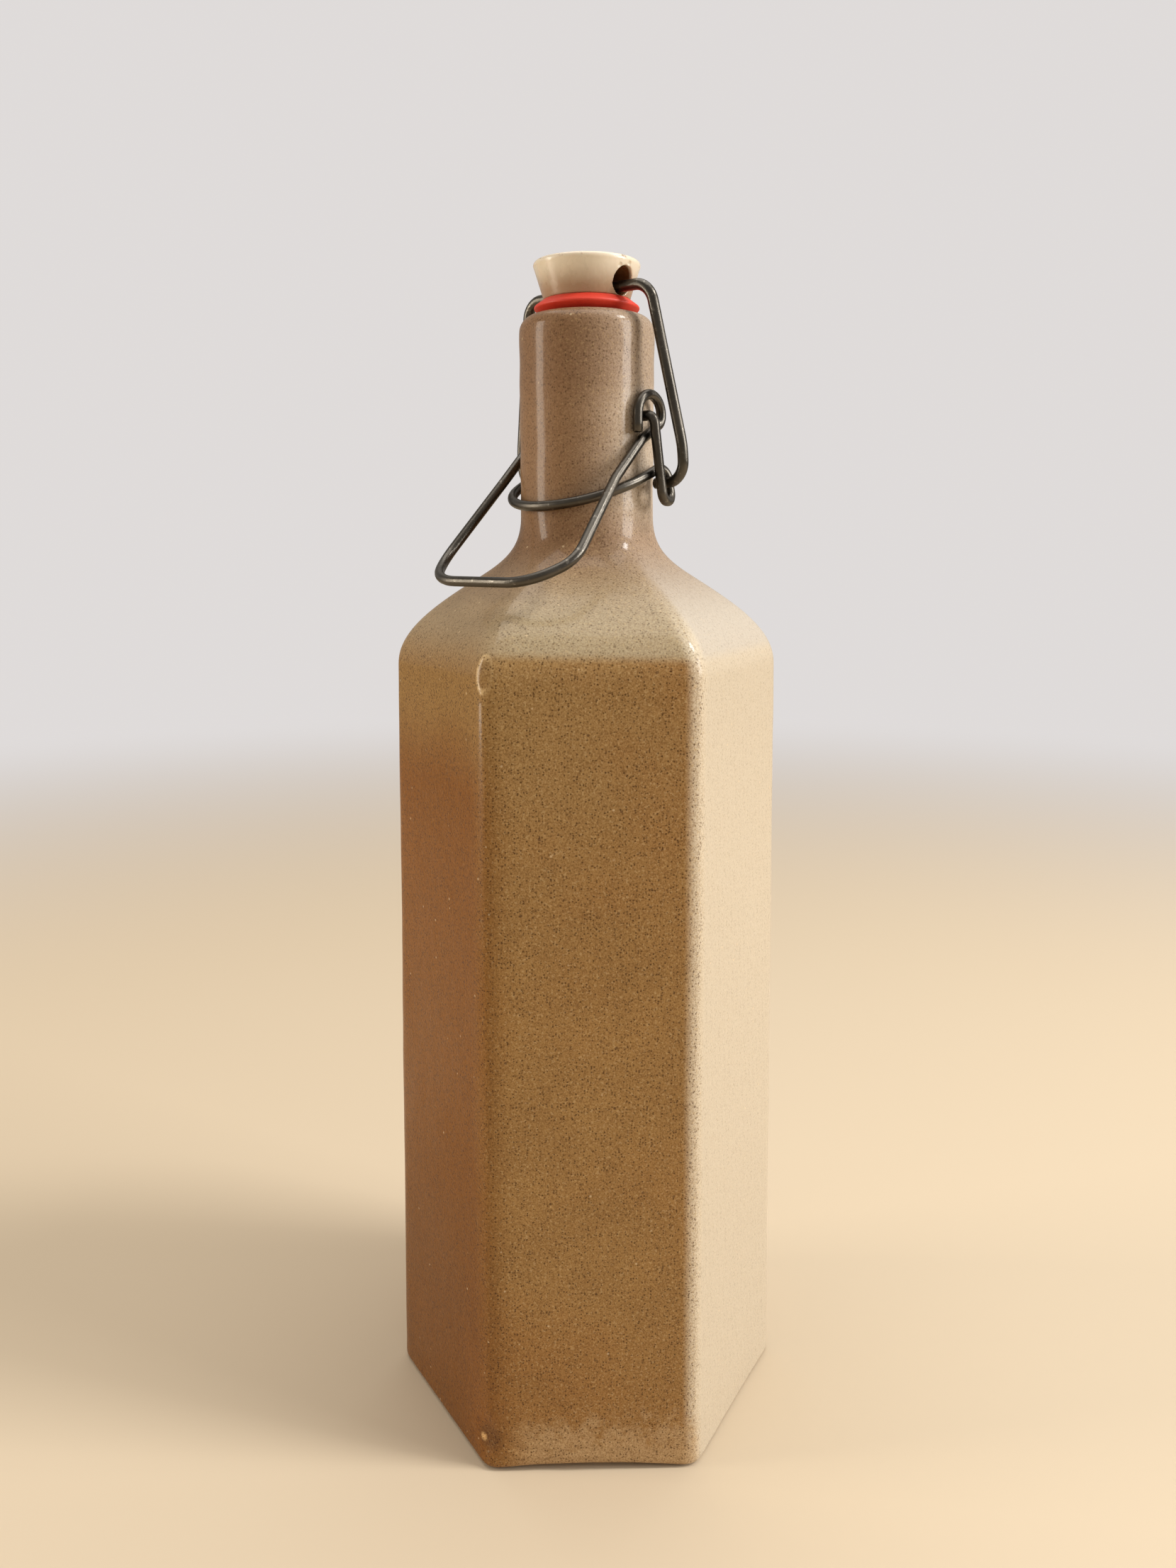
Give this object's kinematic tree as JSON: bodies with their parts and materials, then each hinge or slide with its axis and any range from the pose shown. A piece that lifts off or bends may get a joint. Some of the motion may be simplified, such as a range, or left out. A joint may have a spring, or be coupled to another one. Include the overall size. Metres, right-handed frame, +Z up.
{
  "type": "swing top bottle",
  "caption": "Tall hexagonal stoneware bottle with a round neck, porcelain stopper, rubber washer and a wire swing-top closure.",
  "frame": {"origin": "centre of the hexagonal foot, on the surface the bottle stands on", "axes": "+Z up the bottle's axis; -Y towards the thumb lever; every hinge axis runs along X"},
  "size_m": [0.0988, 0.1016, 0.2939],
  "materials": {
    "stoneware": "speckled salt glaze, orange-brown to cream",
    "wire": "dull dark steel wire",
    "porcelain": "ivory glazed porcelain with chipped edges",
    "washer_rubber": "red rubber"
  },
  "bodies": {
    "bottle": {"bottle_body": "stoneware"},
    "lever": {"yoke_wire": "wire", "thumb_lever": "wire"},
    "bail": {"bail_wire": "wire"},
    "stopper_head": {"stopper": "porcelain", "rubber_washer": "washer_rubber"}
  },
  "joints": [
    {"name": "lever_turn", "type": "hinge", "parent": "bottle", "child": "lever", "pos_m": [0, 0, 0.2575], "axis": [-1, 0, 0], "range_deg": [0, 95], "deforming": ["rubber_washer"]},
    {"name": "bail_turn", "type": "hinge", "parent": "lever", "child": "bail", "pos_m": [0, 0.0052, 0.2422], "axis": [-1, 0, 0], "range_deg": [-64.7, 0]},
    {"name": "stopper_turn", "type": "hinge", "parent": "bail", "child": "stopper_head", "pos_m": [0, 0, 0.2872], "axis": [-1, 0, 0], "range_deg": [-30.5, 0]}
  ],
  "couplings": [
    {"joint": "bail_turn", "follows": "lever_turn", "ratio": -0.68},
    {"joint": "stopper_turn", "follows": "lever_turn", "ratio": -0.32}
  ]
}
